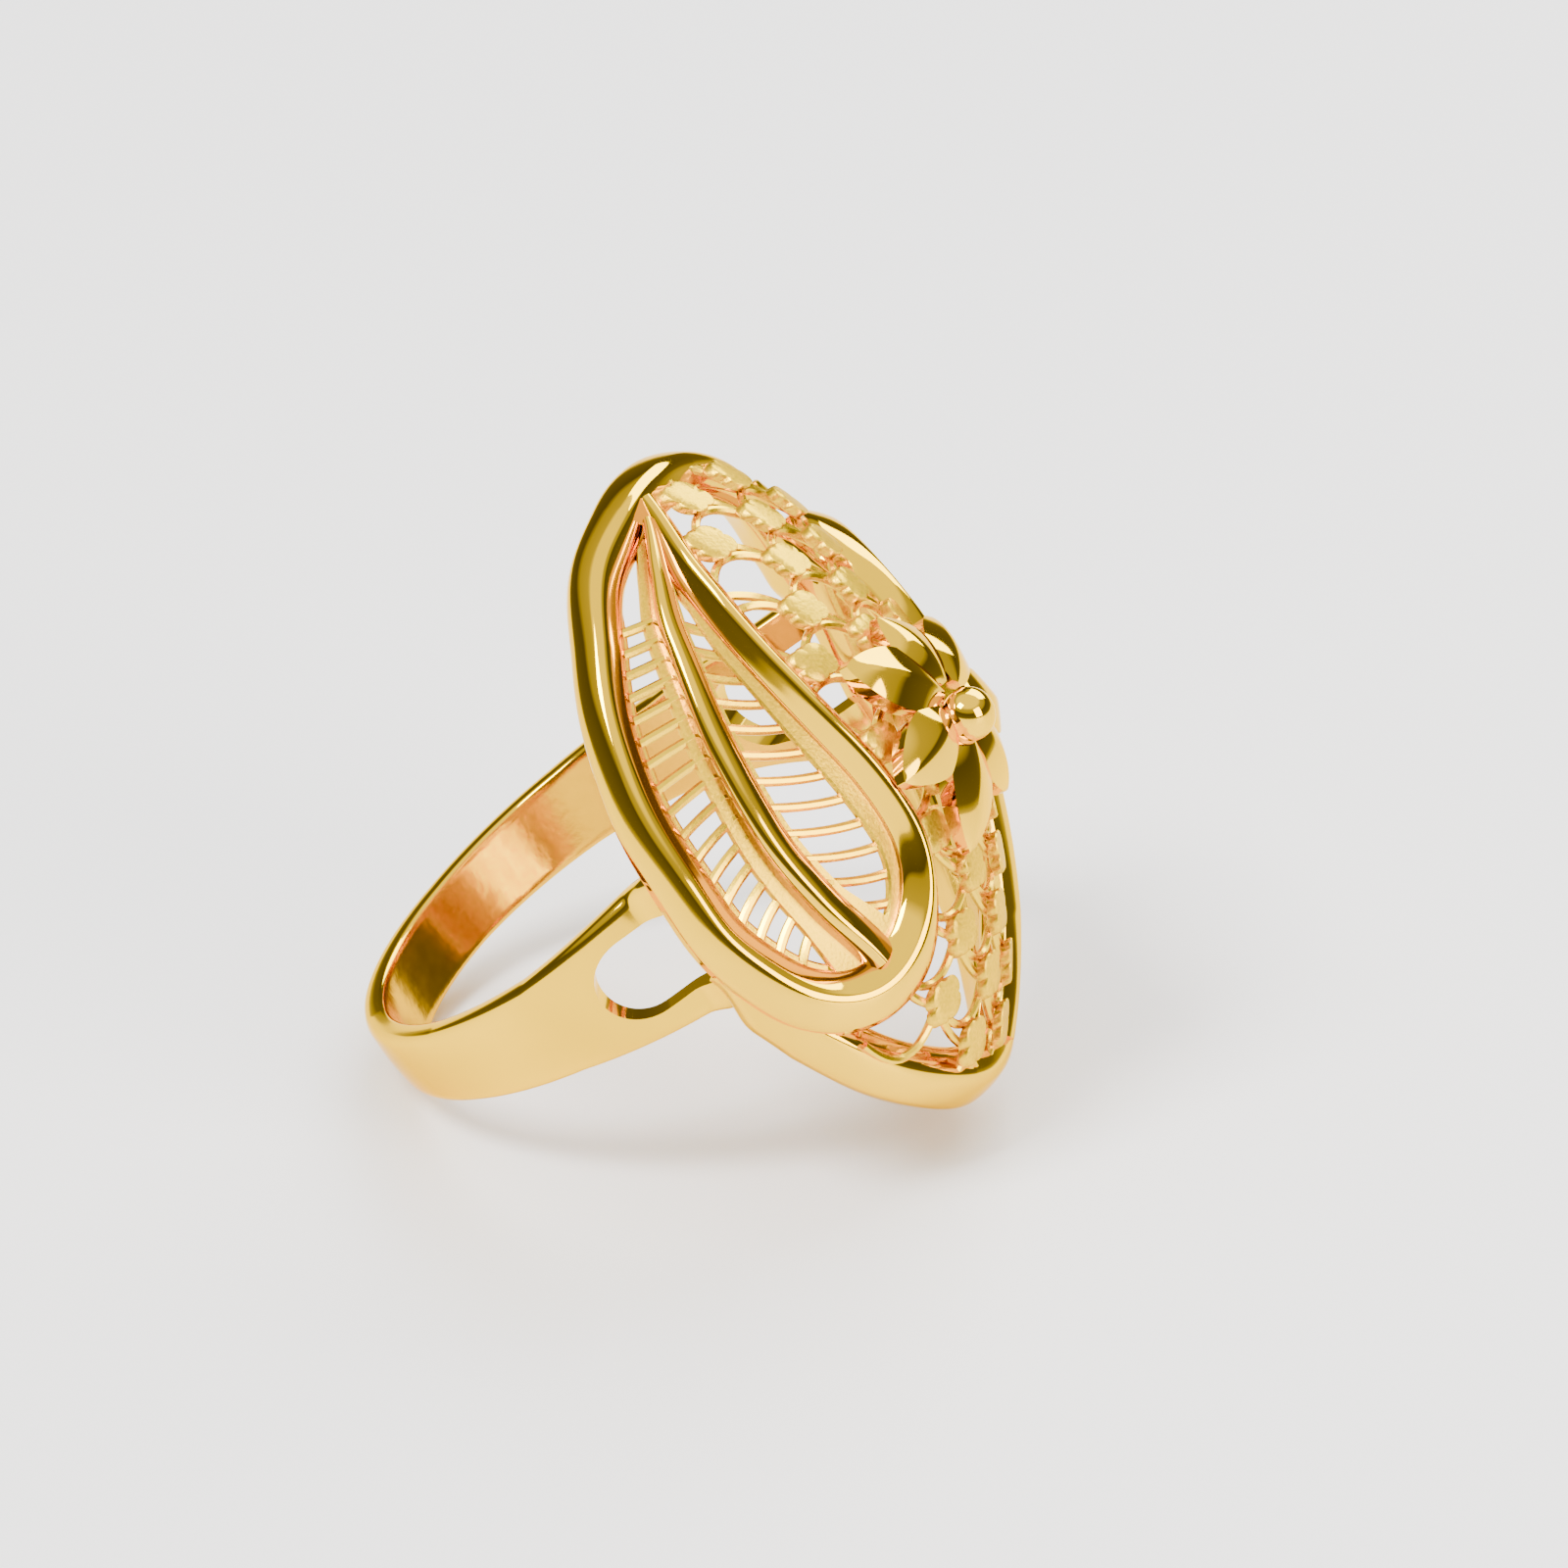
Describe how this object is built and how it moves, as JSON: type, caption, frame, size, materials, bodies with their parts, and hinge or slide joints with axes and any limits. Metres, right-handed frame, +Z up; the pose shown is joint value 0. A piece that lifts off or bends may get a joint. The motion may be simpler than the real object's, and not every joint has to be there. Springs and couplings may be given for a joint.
{
  "type": "finger ring with pierced oval head",
  "caption": "Gold finger ring whose domed oval head has two pierced paisleys round a net band, a raised flower and split shoulders.",
  "frame": {"origin": "on the surface the ring lies on, under the middle of its outline", "axes": "+Z up; +X towards the side that the head faces, so the finger hole's axis leans in the XZ plane; +Y across the finger hole"},
  "size_m": [0.022, 0.0212, 0.0206],
  "materials": {
    "gold": "polished yellow gold, the small net plates satin"
  },
  "bodies": {
    "root": {"ring": "gold"}
  },
  "joints": []
}
